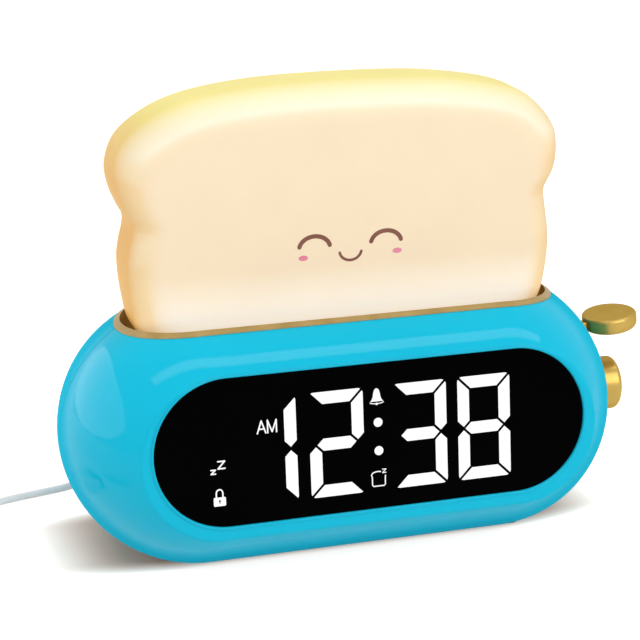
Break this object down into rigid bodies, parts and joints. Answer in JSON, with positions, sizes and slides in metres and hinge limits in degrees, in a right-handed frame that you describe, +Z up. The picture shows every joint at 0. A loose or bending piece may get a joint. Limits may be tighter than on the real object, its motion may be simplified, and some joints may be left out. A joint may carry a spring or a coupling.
{
  "type": "kids alarm clock with night light",
  "caption": "Toaster-shaped digital alarm clock with a glowing slice of toast as a night light, a side lever, a side dial and a USB lead.",
  "frame": {"origin": "on the table, under the middle of the clock's box without its lead", "axes": "+Z up, +X to the right seen from the front, the display faces -Y"},
  "size_m": [0.2648, 0.1401, 0.1492],
  "materials": {
    "blue_shell": "gloss",
    "gold_trim": "satin gold coating",
    "gold_stem": "satin gold coating",
    "liner_gold": "satin gold coating",
    "toast": "translucent, soft satin",
    "white_plastic": "satin",
    "black_lens": "high gloss",
    "lit_white": "lit from behind",
    "circuit_board": "solder mask",
    "lamp_board_white": "white solder mask",
    "dark_plastic": "matte",
    "speaker_paper": "matte pulp",
    "steel": "plated",
    "contact_brass": "plated",
    "foot_rubber": "matte",
    "lead_white": "soft satin"
  },
  "bodies": {
    "clock": {"front_housing": "blue_shell", "rear_housing": "blue_shell", "housing_screws": "steel", "battery_door": "blue_shell", "battery_screw": "steel", "coin_cell": "steel", "cell_contact": "contact_brass", "foot_1": "foot_rubber", "foot_2": "foot_rubber", "foot_3": "foot_rubber", "foot_4": "foot_rubber", "slot_liner": "liner_gold", "liner_screws": "steel", "toast_shell": "toast", "toast_base": "white_plastic", "lamp_board": "lamp_board_white", "lamp_leds": "lit_white", "display_window": "black_lens", "display_digits": "lit_white", "display_colon": "lit_white", "display_reflector": "white_plastic", "display_board": "circuit_board", "display_screws": "steel", "main_board": "circuit_board", "board_chips": "dark_plastic", "board_screws": "steel", "button_switches": "dark_plastic", "speaker_frame": "dark_plastic", "speaker_cone": "speaker_paper", "speaker_magnet": "steel", "speaker_screws": "steel", "usb_socket": "steel", "lever_pin": "steel", "lever_spring": "steel", "lever_bracket": "white_plastic", "bracket_screw": "steel", "lever_switch": "dark_plastic", "encoder_body": "dark_plastic", "encoder_nut": "steel", "usb_c_shell": "steel", "usb_c_plug": "lead_white", "usb_c_relief": "lead_white", "usb_cable": "lead_white", "cable_coil": "lead_white", "cable_tail": "lead_white", "cable_tie": "dark_plastic", "usb_a_relief": "lead_white", "usb_a_plug": "lead_white", "usb_a_shell": "steel"},
    "lever": {"lever_paddle": "gold_trim", "lever_arm": "gold_stem"},
    "dial": {"dial_knob": "gold_trim", "dial_shaft": "steel"},
    "button_1": {"button_1": "white_plastic"},
    "button_2": {"button_2": "white_plastic"},
    "button_3": {"button_3": "white_plastic"},
    "button_4": {"button_4": "white_plastic"}
  },
  "joints": [
    {"name": "lever_press", "type": "hinge", "parent": "clock", "child": "lever", "pos_m": [0.06861, 0.00195, 0.06071], "axis": [0, 1, 0], "range_deg": [0, 5], "stiffness_Nm_per_rad": 0.05, "springref_deg": -14.32},
    {"name": "dial_turn", "type": "hinge", "parent": "clock", "child": "dial", "pos_m": [0.08911, 0.00195, 0.041], "axis": [1, 0, 0], "continuous": true},
    {"name": "button_1_press", "type": "slide", "parent": "clock", "child": "button_1", "axis": [0, -1, 0], "range_m": [0, 0.0008], "stiffness_N_per_m": 400, "springref_m": -0.002},
    {"name": "button_2_press", "type": "slide", "parent": "clock", "child": "button_2", "axis": [0, -1, 0], "range_m": [0, 0.0008], "stiffness_N_per_m": 400, "springref_m": -0.002},
    {"name": "button_3_press", "type": "slide", "parent": "clock", "child": "button_3", "axis": [0, -1, 0], "range_m": [0, 0.0008], "stiffness_N_per_m": 400, "springref_m": -0.002},
    {"name": "button_4_press", "type": "slide", "parent": "clock", "child": "button_4", "axis": [0, -1, 0], "range_m": [0, 0.0008], "stiffness_N_per_m": 400, "springref_m": -0.002}
  ]
}
